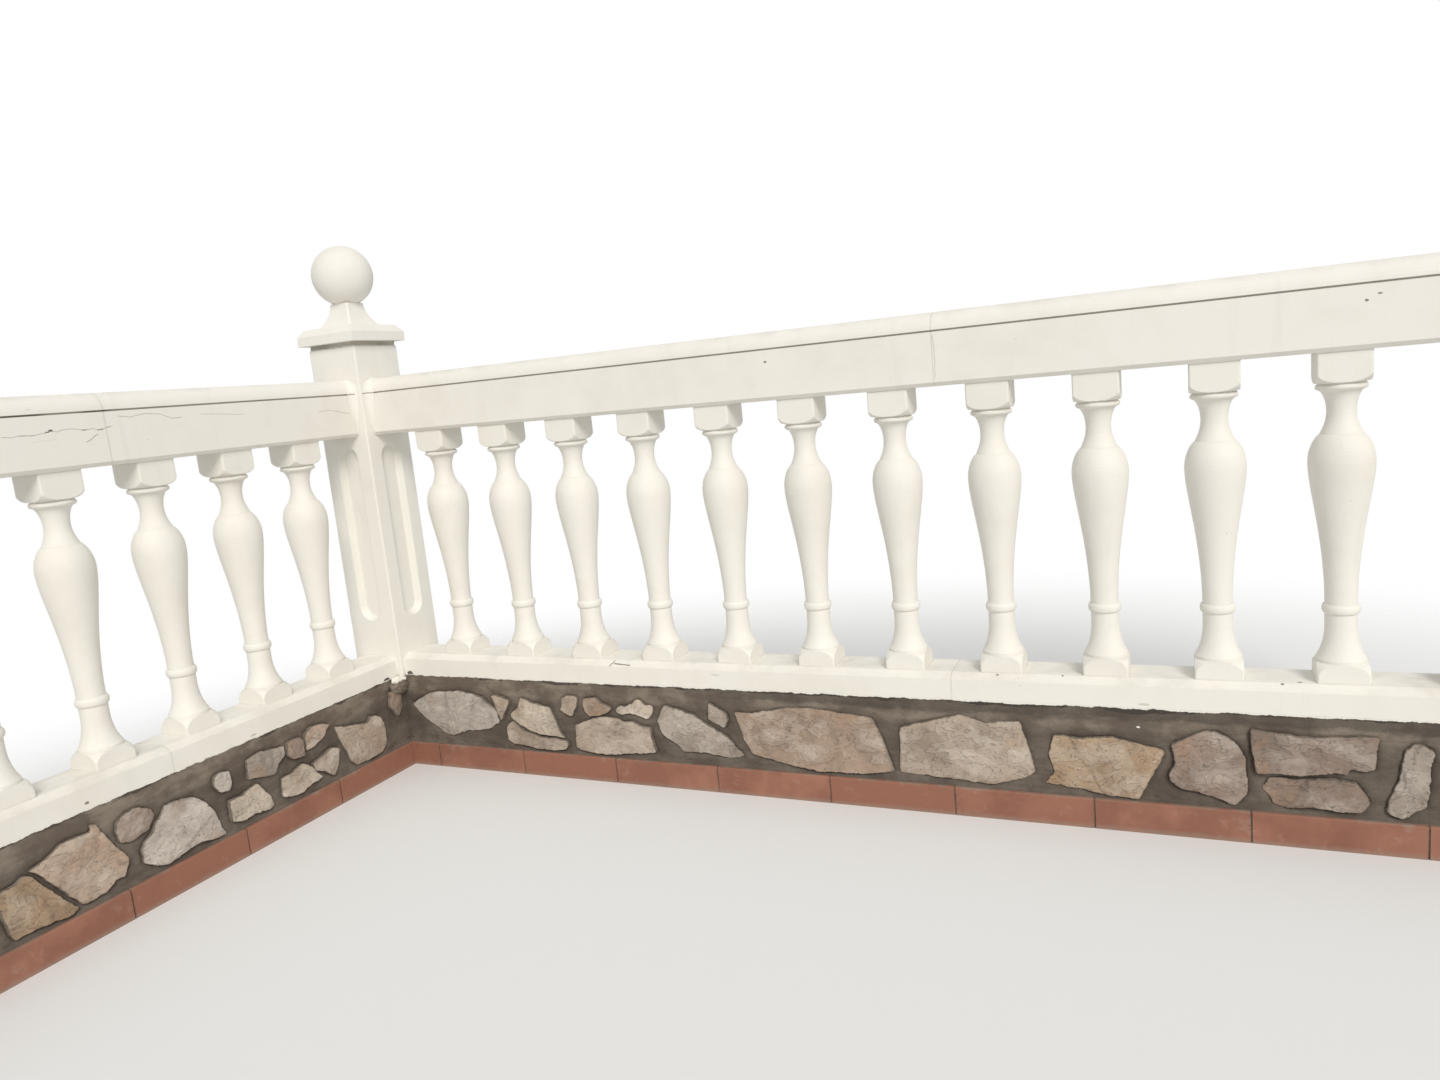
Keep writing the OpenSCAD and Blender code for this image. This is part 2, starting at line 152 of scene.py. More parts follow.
def knapped(quad, rng):
    """A stone that fits a four-sided space: corners broken off at random, sides bowed in a little."""
    corners = [Vector(p) for p in quad]
    outline = []
    for i, corner in enumerate(corners):
        before, after = corners[i - 1], corners[(i + 1) % 4]
        side = after - corner
        if rng.random() < 0.65:
            outline.append(corner.lerp(before, rng.uniform(0.12, 0.3)))
            outline.append(corner.lerp(after, rng.uniform(0.1, 0.3)))
        else:
            outline.append(corner)
        inwards = Vector((-side.y, side.x)).normalized()
        outline.append(corner.lerp(after, rng.uniform(0.42, 0.6)) + inwards * rng.uniform(-2, 9))
    middle = sum(outline, Vector((0, 0))) / len(outline)
    half_joint = rng.uniform(*HALF_JOINT)
    return [p + (middle - p).normalized() * half_joint for p in outline]


def lay_rubble(face, start, rng):
    """Fills a face from start to its end with stones between two levels, all in millimetres."""
    low, high, end = face.low / MM + 6, stone_top / MM, face.end / MM - 4
    at, lean = start, 0
    while end - at > LEAST_STONE:
        width = rng.uniform(*STONE_WIDTH)
        last = end - at - width < LAST_STONE
        if last:
            width = end - at
        next_lean = 0 if last else rng.uniform(-JOINT_LEAN, JOINT_LEAN)
        foot = [(at + lean, low), (at + width + next_lean, low)]
        head = [(at + width - next_lean, high), (at - lean, high)]
        tall = high - low
        if max(tall, width) > BIG_STONE or rng.random() < 0.45:
            cut = [low + tall * rng.uniform(0.38, 0.62) for _ in range(2)]
            mid = [(at + lean * (1 - 2 * (cut[0] - low) / tall), cut[0]),
                   (at + width + next_lean * (1 - 2 * (cut[1] - low) / tall), cut[1])]
            beds = [foot + [mid[1], mid[0]], [mid[0], mid[1]] + head]
        else:
            beds = [foot + head]
        for quad in beds:
            face.outlines.append([(p.x, p.y) for p in knapped(quad, rng)])
            face.kinds.append(rng.choice(STONE_KINDS))
        at, lean = at + width, next_lean


for face, stones, seed in ((right_terrace, right_terrace_stones, 5), (left_terrace, left_terrace_stones, 8)):
    face.kinds = [kind for kind, *_ in stones]
    face.outlines = [list(zip(places[::2], places[1::2])) for _, *places in stones]
    reach = max(x for outline in face.outlines for x, _ in outline)
    lay_rubble(face, reach + 12, random.Random(seed))
for face, seed in ((right_outer, 11), (left_outer, 12), (right_tail, 13), (left_tail, 14)):
    lay_rubble(face, face.start / MM + 4, random.Random(seed))
wall_faces = {"right_terrace": right_terrace, "left_terrace": left_terrace, "right_outer": right_outer,
              "left_outer": left_outer, "right_tail": right_tail, "left_tail": left_tail}
for face in wall_faces.values():
    face.outlines = [np.array(outline) * MM for outline in face.outlines]


# Mortar of the low wall: dark cement mortar, struck back between the stones and trowelled up
# against the bottom rails as a haunch. It fills the wall's whole thickness, so one skin round the
# L stands for all of it, with the stones' beds pressed into it.

class Wire:
    """A value in a finish; sums with it add Math nodes."""

    def __init__(self, finish, socket):
        self.finish = finish
        self.socket = socket

    def math(self, operation, left, right):
        return self.finish.node("ShaderNodeMath", {"operation": operation}, {0: left, 1: right})

    def __add__(self, other):
        return self.math("ADD", self, other)

    __radd__ = __add__

    def __sub__(self, other):
        return self.math("SUBTRACT", self, other)

    def __rsub__(self, other):
        return self.math("SUBTRACT", other, self)

    def __mul__(self, other):
        return self.math("MULTIPLY", self, other)

    __rmul__ = __mul__

    def __abs__(self):
        return self.math("ABSOLUTE", self, 0)


class Finish:
    """A material under construction, round one Principled shader."""

    def __init__(self, name):
        self.material = bpy.data.materials.new(name)
        self.material.use_nodes = True
        self.nodes = self.material.node_tree.nodes
        self.nodes.clear()
        self.shader = self.nodes.new("ShaderNodeBsdfPrincipled")
        self.output = self.nodes.new("ShaderNodeOutputMaterial")
        self.join(self.shader.outputs[0], self.output.inputs[0])
        self.place = self.node("ShaderNodeTexCoord", out="Object")

    def join(self, source, target):
        self.material.node_tree.links.new(source, target)

    def put(self, socket, value):
        if isinstance(value, Wire):
            self.join(value.socket, socket)
        elif socket.type == "RGBA":
            socket.default_value = (*value, 1)
        else:
            socket.default_value = value

    def node(self, kind, settings=None, inputs=None, out=0):
        made = self.nodes.new(kind)
        for name, value in (settings or {}).items():
            if name == "curve":
                self.bend(made.mapping, value)
            else:
                setattr(made, name, value)
        for key, value in (inputs or {}).items():
            self.put(made.inputs[key], value)
        return Wire(self, made.outputs[out])

    def bend(self, mapping, points):
        """Straight lines through points, for a Float Curve node."""
        line = mapping.curves[0].points
        for end, point in ((0, points[0]), (1, points[-1])):
            line[end].location = point
        for point in points[1:-1]:
            line.new(*point)
        for point in line:
            point.handle_type = "VECTOR"
        mapping.update()

    def mix(self, first, second, share):
        return self.node("ShaderNodeMix", {"data_type": "RGBA"}, {0: share, 6: first, 7: second}, out=2)

    def scaled(self, vector, factors):
        return self.node("ShaderNodeVectorMath", {"operation": "MULTIPLY"}, {0: vector, 1: factors})

    def moved(self, vector, by):
        return self.node("ShaderNodeVectorMath", {"operation": "ADD"}, {0: vector, 1: by})

    def axis(self, name, vector=None):
        return self.node("ShaderNodeSeparateXYZ", None, {0: vector or self.place}, out=name)

    def clouds(self, scale, detail=3, rough=0.55, warp=0, shift=None):
        """Noise of one scale, or of three that stretch it along the axes."""
        at = self.moved(self.place, shift) if shift else self.place
        if isinstance(scale, tuple):
            at, scale = self.scaled(at, scale), 1
        return self.node("ShaderNodeTexNoise", None, {
            "Vector": at, "Scale": scale, "Detail": detail, "Roughness": rough, "Distortion": warp})

    def cells(self, scale):
        return self.node("ShaderNodeTexVoronoi", None, {"Vector": self.place, "Scale": scale}, "Distance")

    def ease(self, value, low, high):
        """0 below low and 1 above high, with a soft step between; low above high turns it round."""
        if low > high:
            return 1 - self.ease(value, high, low)
        return self.node("ShaderNodeMapRange", {"interpolation_type": "SMOOTHSTEP"}, {
            "Value": value, "From Min": low, "From Max": high})

    def spot(self, centre, size):
        """1 in the middle of a spot and 0 from its rim out; centre and size are in millimetres."""
        from_middle = self.moved(self.place, tuple(-c * MM for c in centre))
        from_middle = self.scaled(from_middle, tuple(1 / (r * MM) for r in size))
        away = self.node("ShaderNodeVectorMath", {"operation": "LENGTH"}, {0: from_middle}, out="Value")
        return self.ease(away + 0.5 * self.clouds(260), 1.25, 0.95)

    def line(self, along, across, points, width):
        """A thin line through points, as places along it and across it in millimetres."""
        starts, levels = zip(*points)
        low, high, floor, span = starts[0], starts[-1], min(levels) - 1, max(levels) - min(levels) + 2
        share = self.node("ShaderNodeMapRange", None, {"Value": along, "From Min": low * MM, "From Max": high * MM})
        course = self.node("ShaderNodeFloatCurve", {
            "curve": [((a - low) / (high - low), (c - floor) / span) for a, c in points]}, {"Value": share})
        wander = 2.4 * MM * (self.clouds(90, 3, 0.6) - 0.5)
        off = abs(across + wander - (course * (span * MM) + floor * MM))
        ends = self.ease(along, low * MM, (low + 4) * MM) * self.ease(along, high * MM, (high - 4) * MM)
        return self.ease(off, width * MM, 0.35 * width * MM) * ends

    def relief(self, height, depth, **more):
        inputs = {"Height": height, "Distance": depth, "Strength": 1.0, **more}
        return self.node("ShaderNodeBump", None, inputs)

    def finish_with(self, colour, roughness, normal):
        for name, value in (("Base Color", colour), ("Roughness", roughness), ("Normal", normal)):
            self.put(self.shader.inputs[name], value)
        return self.material


MORTAR_DARK = (0.127, 0.098, 0.075)
MORTAR_DRY = (0.245, 0.202, 0.159)
PAINT = (0.83, 0.80, 0.73)


def mortar_finish(name, paint_line, painted_shade=None, dark=MORTAR_DARK, dry=MORTAR_DRY):
    """Cement mortar with a ragged line of the masonry paint over it; paint_line(f) is the paint's mask, and the next
    argument, if given, is a mask of painted shade.
    """
    f = Finish(name)
    patches = f.clouds(9, 5, 0.6)
    trowel = f.clouds((12, 12, 60), 4, 0.6, 0.6)
    sand = f.clouds(420, 3, 0.7)
    grit = f.ease(f.cells(160), 0.28, 0.12) * f.ease(patches, 0.42, 0.6)
    colour = f.mix(dark, dry, f.ease(patches + 0.35 * trowel, 0.55, 0.84))
    # Painted shade: the mortar darkened nearly to black under the shade mask.
    if painted_shade:
        colour = f.mix(colour, (0.052, 0.042, 0.034), painted_shade(f))
    colour = f.mix(colour, tuple(1.3 * c for c in dry), 0.35 * grit)
    colour = f.mix(colour, tuple(0.5 * c for c in dark), 0.5 * f.ease(sand, 0.58, 0.76))
    paint = paint_line(f)
    colour = f.mix(colour, PAINT, paint)
    texture = 0.6 * sand + 1.1 * trowel + 0.5 * grit
    return f.finish_with(colour, 0.94 - 0.2 * paint, f.relief(texture, 2.2 * MM))


def paint_under_rails(f):
    """Paint run over the mortar's top edge, and one white fleck between two stones of the right run."""
    height = f.axis("Z") + 0.012 * f.clouds(34, 4, 0.65)
    fleck = f.spot((2227, -80, 246), (4.5, 12, 2.5))
    edge = f.ease(height, wall_top + 3.2 * MM, wall_top + 4.6 * MM)
    return edge + fleck - edge * fleck


def shade_under_rails(f):
    """Painted shadow under the rails: a ragged line close under them, a broader band further along the run, and
    painted shade over the lower wall.
    """
    ragged = f.axis("Z") + 0.05 * f.clouds((9, 9, 30), 5, 0.65) - 0.025
    narrow = f.ease(ragged, wall_top - 7 * MM, wall_top - 3 * MM)
    broad = f.ease(ragged, wall_top - 34 * MM, wall_top - 22 * MM) * f.ease(f.axis("X"), 0.8, 1.4)
    below = f.ease(f.axis("Z"), wall_top - 45 * MM, wall_top - 75 * MM) * 0.45
    seam = 0.85 * narrow + 0.6 * broad
    return seam + below - seam * below


HAUNCH_RISE = 27 * MM
HAUNCH_RUN = wall_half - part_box("right_bottom_rail_near")[1].y
STRUCK_BACK = 6.5 * MM
RAKED, RAKED_WIDTH = 4.5 * MM, 5 * MM
STONE_BED = 9 * MM
TROWEL_LUMPS = 2.2 * MM
BEHIND_TILES = 3 * MM


def outline_distance(points, outlines):
    """Distance from each point to the nearest outline, negative inside a stone."""
    nearest = np.full(len(points), 1.0)
    inside = np.zeros(len(points), bool)
    for outline in outlines:
        crossings = np.zeros(len(points), int)
        for p, q in zip(outline, np.roll(outline, -1, 0)):
            side = q - p
            t = np.clip(((points - p) @ side) / (side @ side), 0, 1)
            nearest = np.minimum(nearest, np.linalg.norm(points - p - t[:, None] * side, axis=1))
            spans = (p[1] > points[:, 1]) != (q[1] > points[:, 1])
            if p[1] != q[1]:
                meets = p[0] + (points[:, 1] - p[1]) * side[0] / side[1]
                crossings += spans & (points[:, 0] < meets)
        inside |= crossings % 2 == 1
    return np.where(inside, -nearest, nearest)


def mortar_depth(face, along, levels):
    """How far the mortar lies behind the face, on a grid of places along it and heights."""
    a, z = np.meshgrid(along, levels, indexing="ij")
    gap = outline_distance(np.stack([a.ravel(), z.ravel()], 1), face.outlines).reshape(a.shape)
    lumps = np.array([noise.fractal(face.point(x, y, 0) * 38, 0.8, 2.1, 4)
                      for x, y in zip(a.ravel(), z.ravel())]).reshape(a.shape)
    raked = RAKED * np.exp(-np.maximum(gap, 0) / RAKED_WIDTH)
    bed = np.clip(-gap * 1.2, 0, STONE_BED)
    depth = TROWEL_LUMPS * lumps - STRUCK_BACK - raked - bed
    haunch = np.clip((z - wall_top + HAUNCH_RISE) / HAUNCH_RISE, 0, 1)
    depth = depth * (1 - haunch) - haunch * (HAUNCH_RUN - 0.8 * MM + MM * lumps)
    behind_tiles = np.clip((face.low + BEHIND_TILES - z) / BEHIND_TILES, 0, 1) if face.low else 0
    return depth * (1 - behind_tiles) - 0.4 * MM * behind_tiles


def add_piece(name, verts, faces, material, crease=40):
    """A mesh that rides on the part and takes a material slot's finish."""
    mesh = bpy.data.meshes.new(name)
    mesh.from_pydata([tuple(v) for v in verts], [], faces)
    mesh.shade_smooth()
    mesh.set_sharp_from_angle(angle=math.radians(crease))
    piece = bpy.data.objects.new(name, mesh)
    bpy.context.scene.collection.objects.link(piece)
    mesh.materials.append(material)
    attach(piece, "root")
    return piece


def mortar_piece(name, walk, levels, depth_at, material):
    """Skin round a block: a ring of columns that visits each face in turn, closed above and below."""
    columns = []
    for i, (face, start, end, step) in enumerate(walk):
        count = round(abs(end - start) / step)
        along = start + (end - start) * np.arange(count) / count
        depth = depth_at(face, along, levels)
        for j in range(count):
            out = face.out + (walk[i - 1][0].out if j == 0 else Vector())
            foot = face.point(along[j], 0, 0)
            columns.append([foot + UP * z + out * float(d) for z, d in zip(levels, depth[j])])
    rows, around = len(levels), len(columns)
    verts = [p for column in columns for p in column]
    faces = []
    for c in range(around):
        here, there = c * rows, (c + 1) % around * rows
        for r in range(rows - 1):
            faces.append((here + r, here + r + 1, there + r + 1, there + r))
    faces.append([c * rows for c in range(around)])
    faces.append([c * rows + rows - 1 for c in reversed(range(around))])
    return add_piece(name, verts, faces, material)


FINE, COARSE = 6 * MM, 9 * MM
MORTAR_LEVELS = 45
walk = [(right_outer, -wall_half, right_end, COARSE), (right_tail, wall_half, -wall_half, COARSE),
        (right_terrace, right_end, wall_half, FINE), (left_terrace, wall_half, left_end, FINE),
        (left_tail, wall_half, -wall_half, COARSE), (left_outer, left_end, -wall_half, COARSE)]
# This mortar carries painted shadow under the rails and painted shade lower down.
wall_mortar = mortar_finish("wall_mortar", paint_under_rails, shade_under_rails)
mortar = mortar_piece("wall_mortar", walk, np.linspace(0, wall_top, MORTAR_LEVELS), mortar_depth, wall_mortar)
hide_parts("corner_wall", "right_wall", "left_wall")

# Field stones of the low wall: split limestone and sandstone, from grey-white to ochre. Each is a
# flat piece with broken edges and a few split planes on its face, set a little proud of the mortar.

STONE_COLOURS = {
    "pale": (0.475, 0.415, 0.365),
    "cream": (0.55, 0.465, 0.37),
    "fawn": (0.425, 0.34, 0.265),
    "grey": (0.36, 0.30, 0.25),
    "tan": (0.45, 0.33, 0.245),
    "ochre": (0.415, 0.29, 0.185),
    "brown": (0.295, 0.22, 0.175),
}
CORNER_LOSS = 3 * MM
EDGE_STEP = 4 * MM
RIM_ROUND = 3 * MM
BROAD_CHIPS, FINE_CHIPS = 2.4 * MM, 2 * MM
LEDGE, LEDGE_SLOPE = 2.6 * MM, 2 * MM
STONE_GRAIN = 1.9 * MM
STONE_DEPTH = 24 * MM
noise.seed_set(3)  # without a seed, noise_vector changes with the clock
FACE_RINGS = [0.08, 0.16, 0.24, 0.32, 0.4, 0.47, 0.54, 0.61, 0.67, 0.73, 0.79, 0.84, 0.89, 0.93, 0.965, 0.985, 1.0]


def broken_edge(outline, key):
    """The outline with blunt corners and chipped sides, as closely spaced points."""
    points = []
    for i, corner in enumerate(outline):
        for other in (outline[i - 1], outline[(i + 1) % len(outline)]):
            side = other - corner
            length = np.linalg.norm(side)
            points.append(corner + side * min(0.3, CORNER_LOSS / length))
    edge = []
    for p, q in zip(points, points[1:] + points[:1]):
        count = max(1, round(float(np.linalg.norm(q - p)) / EDGE_STEP))
        edge.extend(p + (q - p) * k / count for k in range(count))
    chips = [noise.noise_vector(Vector((p[0] * 50, p[1] * 50, key))) * BROAD_CHIPS
             + noise.noise_vector(Vector((p[0] * 150, p[1] * 150, key))) * FINE_CHIPS for p in edge]
    return np.array([(p[0] + c.x, p[1] + c.y) for p, c in zip(edge, chips)])


def split_face(points, middle, proud, key, rng):
    """Height of the stone's face over the wall's: a few split planes, a ledge and a rough grain."""
    height = np.full(len(points), proud)
    for _ in range(5):
        slope = np.array([rng.uniform(-0.07, 0.07), rng.uniform(-0.09, 0.09)])
        at = middle + np.array([rng.uniform(-0.03, 0.03), rng.uniform(-0.02, 0.02)])
        height = np.minimum(height, proud + (points - at) @ slope + rng.uniform(0, 0.0015))
    for _ in range(rng.choice((1, 1, 2))):
        turn = rng.uniform(0, math.tau)
        across = (points - middle) @ np.array([math.cos(turn), math.sin(turn)])
        wander = np.array([noise.noise(Vector((p[0] * 30, p[1] * 30, key + 3))) for p in points]) * 0.012
        height -= LEDGE * np.clip((across + wander - rng.uniform(0.005, 0.04)) / LEDGE_SLOPE, 0, 1)
    grain = [noise.fractal(Vector((p[0] * 45, p[1] * 45, key)), 0.9, 2.0, 5) for p in points]
    return height + np.array(grain) * STONE_GRAIN


def add_stones(name, face, material):
    """Every stone of one face of the wall, as one piece of closed shells."""
    rng = random.Random(name)
    verts, faces, tints, seeds, rims = [], [], [], [], []
    for outline, kind in zip(face.outlines, face.kinds):
        key = rng.uniform(0, 50)
        area = np.cross(outline, np.roll(outline, -1, 0)).sum()
        if (area > 0) != face.turns_left():
            outline = outline[::-1]
        edge = broken_edge(outline, key)
        middle = edge.mean(0)
        n = len(edge)
        flat = np.concatenate([[middle], *[middle + (edge - middle) * t for t in FACE_RINGS]])
        height = split_face(flat, middle, rng.uniform(1.5, 5) * MM, key, rng)
        reach = np.linalg.norm(edge - middle, axis=1)
        from_rim = np.concatenate([[1], *[(1 - t) * reach for t in FACE_RINGS]])
        bend = 1 - np.clip(from_rim / RIM_ROUND, 0, 1)
        height -= RIM_ROUND * 0.75 * (1 - np.sqrt(1 - bend ** 2))
        base = len(verts)
        verts.extend(face.point(p[0], p[1], h) for p, h in zip(flat, height))
        verts.extend(face.point(p[0], p[1], -STONE_DEPTH) for p in edge)
        verts.append(face.point(middle[0], middle[1], -STONE_DEPTH))
        back = base + 1 + len(FACE_RINGS) * n
        for k in range(n):
            m = (k + 1) % n
            faces.append((base, base + 1 + k, base + 1 + m))
            for ring in range(base + 1, back, n):
                faces.append((ring + k, ring + n + k, ring + n + m, ring + m))
            faces.append((back + k, back + n, back + m))
        shade = rng.uniform(0.86, 1.1)
        tints.extend([(*(c * shade for c in STONE_COLOURS[kind]), 1)] * (len(verts) - base))
        seeds.extend([(key, key * 1.7, key * 0.6)] * (len(verts) - base))
        rims.extend([0] + [t for t in FACE_RINGS for _ in range(n)] + [1] * (n + 1))
    piece = add_piece(name, verts, faces, material, crease=32)
    for field, kind, store, values in (("stone_tint", "FLOAT_COLOR", "color", tints),
                                       ("stone_seed", "FLOAT_VECTOR", "vector", seeds),
                                       ("stone_rim", "FLOAT", "value", rims)):
        layer = piece.data.attributes.new(field, kind, "POINT")
        layer.data.foreach_set(store, np.array(values, dtype=float).ravel())


def stone_finish():
    """Split stone. Each stone's seed gives it its own part of the patterns."""
    f = Finish("field_stone")
    tint, seed, rim = (f.node("ShaderNodeAttribute", {"attribute_name": name}, out=out) for name, out in
                       (("stone_tint", "Color"), ("stone_seed", "Vector"), ("stone_rim", "Fac")))
    f.place = f.moved(f.place, seed)
    blotch = f.clouds(12, 5, 0.6, 0.5)
    rust = f.clouds(10, 4, 0.6, shift=(7, 3, 1))
    split = f.clouds((9, 9, 17), 5, 0.6, 0.35)
    flakes = f.ease(split, 0.43, 0.44) + f.ease(split, 0.51, 0.518) + f.ease(split, 0.585, 0.6)
    # The edges of the split flakes, where painted shadow goes.
    ledge_shadow = f.ease(abs(split - 0.435), 0.014, 0.002) + f.ease(abs(split - 0.514), 0.012, 0.002)
    grain = f.clouds(120, 5, 0.75)
    pits = f.ease(f.cells(70), 0.2, 0.1) * f.ease(blotch, 0.5, 0.6)
    ridge = f.ease(abs(f.clouds(16, 3, 0.6, 0.9) - 0.5), 0.012, 0.002) * f.ease(blotch, 0.48, 0.6)
    dark = f.mix(tint, (0.12, 0.09, 0.07), 0.42)
    colour = f.mix(dark, tint, f.ease(blotch, 0.32, 0.6))
    colour = f.mix(colour, f.mix(tint, (0.72, 0.66, 0.58), 0.5), 0.24 * flakes * f.ease(rust, 0.6, 0.4))
    colour = f.mix(colour, (0.40, 0.245, 0.135), 0.34 * f.ease(rust, 0.54, 0.7))
    colour = f.mix(colour, (0.72, 0.67, 0.60), 0.3 * ridge)
    # Painted shadow along the edges of the split flakes, and dark pits.
    colour = f.mix(colour, (0.10, 0.08, 0.065), 0.26 * ledge_shadow * f.ease(blotch, 0.6, 0.45) + 0.5 * pits)
    colour = f.mix(colour, dark, 0.42 * f.ease(grain, 0.5, 0.72))
    # Painted shade: the stones' sides, which stand proud of the mortar, darkened nearly to black as a shadow gap
    # round each stone.
    sides = f.ease(rim + 0.03 * f.clouds(60, 3, 0.6), 1.0, 1.012)
    colour = f.mix(colour, (0.075, 0.06, 0.048), 0.8 * sides)
    smear = f.ease(rim + 0.16 * f.clouds(40, 3, 0.6, shift=(2, 5, 3)), 1.04, 1.09)
    colour = f.mix(colour, MORTAR_DRY, 0.7 * smear)
    texture = 0.55 * grain + 0.55 * flakes + 0.5 * blotch + 0.3 * ridge - 0.5 * pits
    return f.finish_with(colour, 0.88 + 0.06 * blotch, f.relief(texture, 2.4 * MM))


stone = stone_finish()
for name, face in wall_faces.items():
    add_stones(name + "_stones", face, stone)

# Skirting: unglazed terracotta tiles stuck to the foot of the terrace side, with their top front
# edge rounded and the joints between them grouted. Each tile has its own firing colour, and dust
# and a haze of mortar lie along its edges.

TILE = (0.285, 0.122, 0.077)
tile_runs = {"right_skirting": ("X", 1), "left_skirting": ("Y", -1)}


def tile_edges(node):
    """Where the tiles of a run start and end, as distances along the run from the origin."""
    axis, sign = tile_runs[node]
    return sorted({round(sign * getattr(v.co, axis.lower()), 4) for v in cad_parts[node].data.vertices})


def terracotta_finish(node):
    axis, sign = tile_runs[node]
    edges = tile_edges(node)
    pitch = edges[4] - edges[2]
    f = Finish("terracotta_" + node)
    height = f.axis("Z")
    run = f.axis(axis) * (sign / pitch)
    first = (edges[1] + edges[2]) / 2 / pitch
    number = f.node("ShaderNodeMath", {"operation": "FLOOR"}, {0: run - first})
    fired = f.node("ShaderNodeTexWhiteNoise", {"noise_dimensions": "1D"}, {"W": number}, out="Value")
    flash = f.clouds(7, 4, 0.6)
    dust = f.clouds(26, 5, 0.65)
    grain = f.clouds(300, 3, 0.7)
    scuff = f.clouds((30, 30, 4), 4, 0.65)
    colour = f.mix(TILE, (0.36, 0.165, 0.105), f.ease(fired, 0.2, 1.0))
    colour = f.mix(colour, (0.215, 0.086, 0.056), 0.7 * f.ease(flash + 0.3 * fired, 0.55, 0.85))
    colour = f.mix(colour, (0.42, 0.30, 0.23), 0.35 * f.ease(dust, 0.55, 0.75))
    colour = f.mix(colour, (0.13, 0.06, 0.042), 0.35 * f.ease(grain, 0.58, 0.72))
    low = f.ease(height + 0.014 * dust, 0.022, 0.008)
    colour = f.mix(colour, (0.30, 0.235, 0.19), 0.5 * low)
    haze = f.ease(height + 0.010 * dust, SKIRTING_TOP + 3 * MM, SKIRTING_TOP + 6.5 * MM)
    colour = f.mix(colour, MORTAR_DRY, 0.75 * haze)
    texture = 0.5 * grain + 0.6 * dust + 0.35 * scuff
    return f.finish_with(colour, 0.62 + 0.28 * dust, f.relief(texture, 0.8 * MM))


def coat(node, material):
    """Gives a node of the frame its finish."""
    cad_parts[node].data.materials.clear()
    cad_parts[node].data.materials.append(material)


GROUT_BACK = 3 * MM
GROUT_LOW = 1.5 * MM
TILE_STEPS = 5
grout = mortar_finish("tile_grout", lambda f: 0.0)
for node, face in (("right_skirting", right_terrace), ("left_skirting", left_terrace)):
    coat(node, terracotta_finish(node))
    edges = tile_edges(node)
    front = abs(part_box(node)[0].y) if node == "right_skirting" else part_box(node)[1].x
    verts, faces = [], []
    for start, end in zip(edges[1::2], edges[2::2]):
        base = len(verts)
        for a in (start, end):
            for step in range(TILE_STEPS + 1):
                z = (SKIRTING_TOP - GROUT_LOW) * step / TILE_STEPS
                wobble = 0.6 * MM * noise.noise(Vector((a * 90, z * 90, 4)))
                verts.append(face.point(a, z, front - wall_half - GROUT_BACK + wobble))
            verts.append(face.point(a, SKIRTING_TOP - GROUT_LOW, -GROUT_BACK))
            verts.append(face.point(a, 0, -GROUT_BACK))
        n = TILE_STEPS + 3
        near, far = range(base, base + n), range(base + n, base + 2 * n)
        if face.turns_left():
            near, far = far, near
        faces.append(list(near))
        faces.append(list(reversed(far)))
        for k in range(n):
            m = (k + 1) % n
            faces.append((near[m], near[k], far[k], far[m]))
    add_piece(node + "_grout", verts, faces, grout)

# Bottom rails: cast stone kerbs with sloping tops, two castings to a run, bedded on the low wall.
# They are moulded from white cement and painted together with all the castings above, many times
# over, with a warm white masonry paint that also fills the joints and runs into the corners.

PAINT_AGED = (0.74, 0.70, 0.62)
DUST = (0.40, 0.36, 0.30)
CRACK = (0.20, 0.17, 0.135)


def painted_finish(name, marks=()):
    """Masonry paint over cast stone. Each mark is a mask with its colour and how deep it is, in millimetres."""
    f = Finish(name)
    bed = f.clouds(2.2, 4, 0.55)
    patch = f.clouds(13, 5, 0.6)
    streak = f.clouds((26, 26, 2.2), 4, 0.6)
    roller = f.clouds(210, 3, 0.6)
    colour = f.mix(PAINT, PAINT_AGED, 0.5 * f.ease(0.6 * bed + 0.4 * patch, 0.44, 0.68))
    colour = f.mix(colour, (0.66, 0.63, 0.57), 0.22 * f.ease(streak, 0.56, 0.78))
    facing = f.axis("Z", f.node("ShaderNodeNewGeometry", out="Normal"))
    settled = f.ease(facing, 0.6, 0.97) * f.ease(patch, 0.4, 0.75)
    colour = f.mix(colour, DUST, 0.22 * settled)
    flecks = f.ease(f.cells(21), 0.036, 0.02) * f.ease(f.clouds(5, 2), 0.52, 0.6)
    colour = f.mix(colour, (0.24, 0.20, 0.16), 0.5 * flecks)
    depth = 0.22 * roller + 0.6 * patch
    for mark in marks:
        mask, tone, deep = mark(f)
        colour = f.mix(colour, tone, mask)
        depth = depth - deep * mask
    soft = f.node("ShaderNodeBevel", {"samples": 4}, {"Radius": 2.2 * MM})
    return f.finish_with(colour, 0.58 + 0.2 * patch, f.relief(depth, 1 * MM, Normal=soft))


def chip(centre, size, tone=CRACK, deep=0.6, strength=0.9):
    """A chip, hole or fleck in the paint."""
    return lambda f: (strength * f.spot(centre, size), tone, deep)


def crack(along, across, points, width=0.8, deep=0.7, strength=0.9):
    """A crack that runs along one axis of the frame."""
    return lambda f: (strength * f.line(f.axis(along), f.axis(across), points, width), CRACK, deep)


def near_face(axis, low, high, mark):
    """Keeps a mark to the part of a casting between two places on an axis, in millimetres."""
    def kept(f):
        mask, tone, deep = mark(f)
        place = f.axis(axis)
        return mask * f.ease(place, low * MM, (low + 1) * MM) * f.ease(place, high * MM, (high - 1) * MM), tone, deep
    return kept


